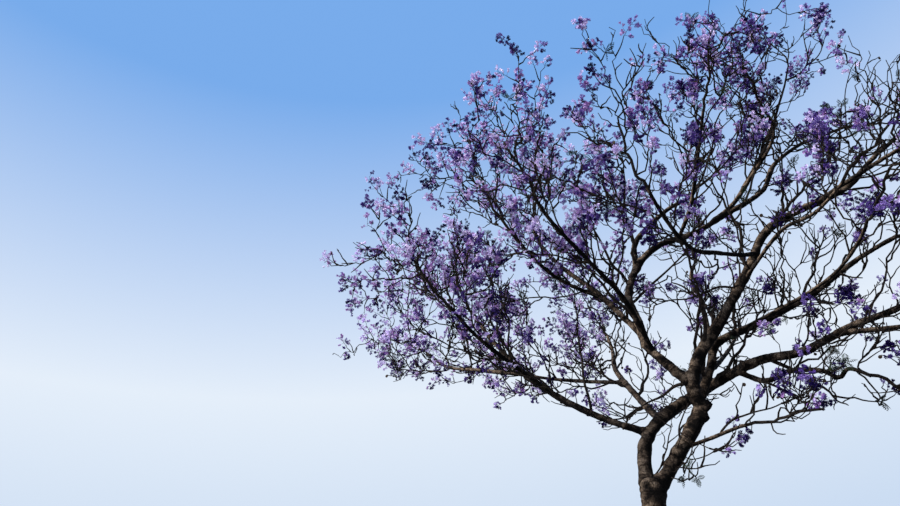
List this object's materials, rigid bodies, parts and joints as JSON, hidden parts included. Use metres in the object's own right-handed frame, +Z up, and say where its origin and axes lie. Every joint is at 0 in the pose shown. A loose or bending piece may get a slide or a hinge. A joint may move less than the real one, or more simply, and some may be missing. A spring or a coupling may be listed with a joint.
{
  "type": "jacaranda tree",
  "caption": "Whole jacaranda tree in blossom: leaning trunk with root flare, forked stems, long sinuous boughs and an open, spreading crown of violet blossom.",
  "frame": {"origin": "middle of the trunk's flat cut at ground level", "axes": "+Z straight up, +X towards the open side that the crown leans and spreads to, +Y completes the right-handed frame"},
  "size_m": [12.116, 9.8194, 12.7452],
  "materials": {
    "trunk_bark": "fissured grey-brown bark",
    "bough_bark": "finely ridged dark bark",
    "twig_bark": "smooth dull twigs",
    "blossom": "soft translucent-looking violet petals",
    "leaf": "matt feathery leaflets",
    "seed_pod": "dry dark brown pods"
  },
  "bodies": {
    "root": {"blossom_bough_back": "blossom", "blossom_bough_back_high": "blossom", "blossom_bough_back_left": "blossom", "blossom_bough_back_low": "blossom", "blossom_bough_back_right": "blossom", "blossom_bough_far_right": "blossom", "blossom_bough_front_left": "blossom", "blossom_bough_front_right": "blossom", "blossom_bough_high_right": "blossom", "blossom_bough_high_right_fork": "blossom", "blossom_bough_inner_left": "blossom", "blossom_bough_left_front": "blossom", "blossom_bough_low_right": "blossom", "blossom_bough_low_right_fork": "blossom", "blossom_bough_lowest_right": "blossom", "blossom_bough_mid_right": "blossom", "blossom_bough_mid_right_back": "blossom", "blossom_bough_mid_right_low": "blossom", "blossom_bough_top_left": "blossom", "blossom_bough_top_middle": "blossom", "blossom_bough_top_right": "blossom", "blossom_bough_upper_front": "blossom", "blossom_bough_upper_left": "blossom", "blossom_bough_west": "blossom", "blossom_bough_west_back": "blossom", "blossom_bough_west_low": "blossom", "blossom_branch_low": "blossom", "bough_back": "bough_bark", "bough_back_high": "bough_bark", "bough_back_left": "bough_bark", "bough_back_low": "bough_bark", "bough_back_right": "bough_bark", "bough_crown": "bough_bark", "bough_far_right": "bough_bark", "bough_front_left": "bough_bark", "bough_front_right": "bough_bark", "bough_high_right": "bough_bark", "bough_high_right_fork": "bough_bark", "bough_inner_left": "bough_bark", "bough_left": "bough_bark", "bough_left_front": "bough_bark", "bough_low_right": "bough_bark", "bough_low_right_fork": "bough_bark", "bough_lowest_right": "bough_bark", "bough_mid_right": "bough_bark", "bough_mid_right_back": "bough_bark", "bough_mid_right_low": "bough_bark", "bough_top_left": "bough_bark", "bough_top_middle": "bough_bark", "bough_top_right": "bough_bark", "bough_upper_front": "bough_bark", "bough_upper_left": "bough_bark", "bough_west": "bough_bark", "bough_west_back": "bough_bark", "bough_west_low": "bough_bark", "branch_low": "bough_bark", "stem_left": "bough_bark", "stem_left_arch": "bough_bark", "stem_right": "bough_bark", "trunk": "trunk_bark"}
  },
  "joints": []
}
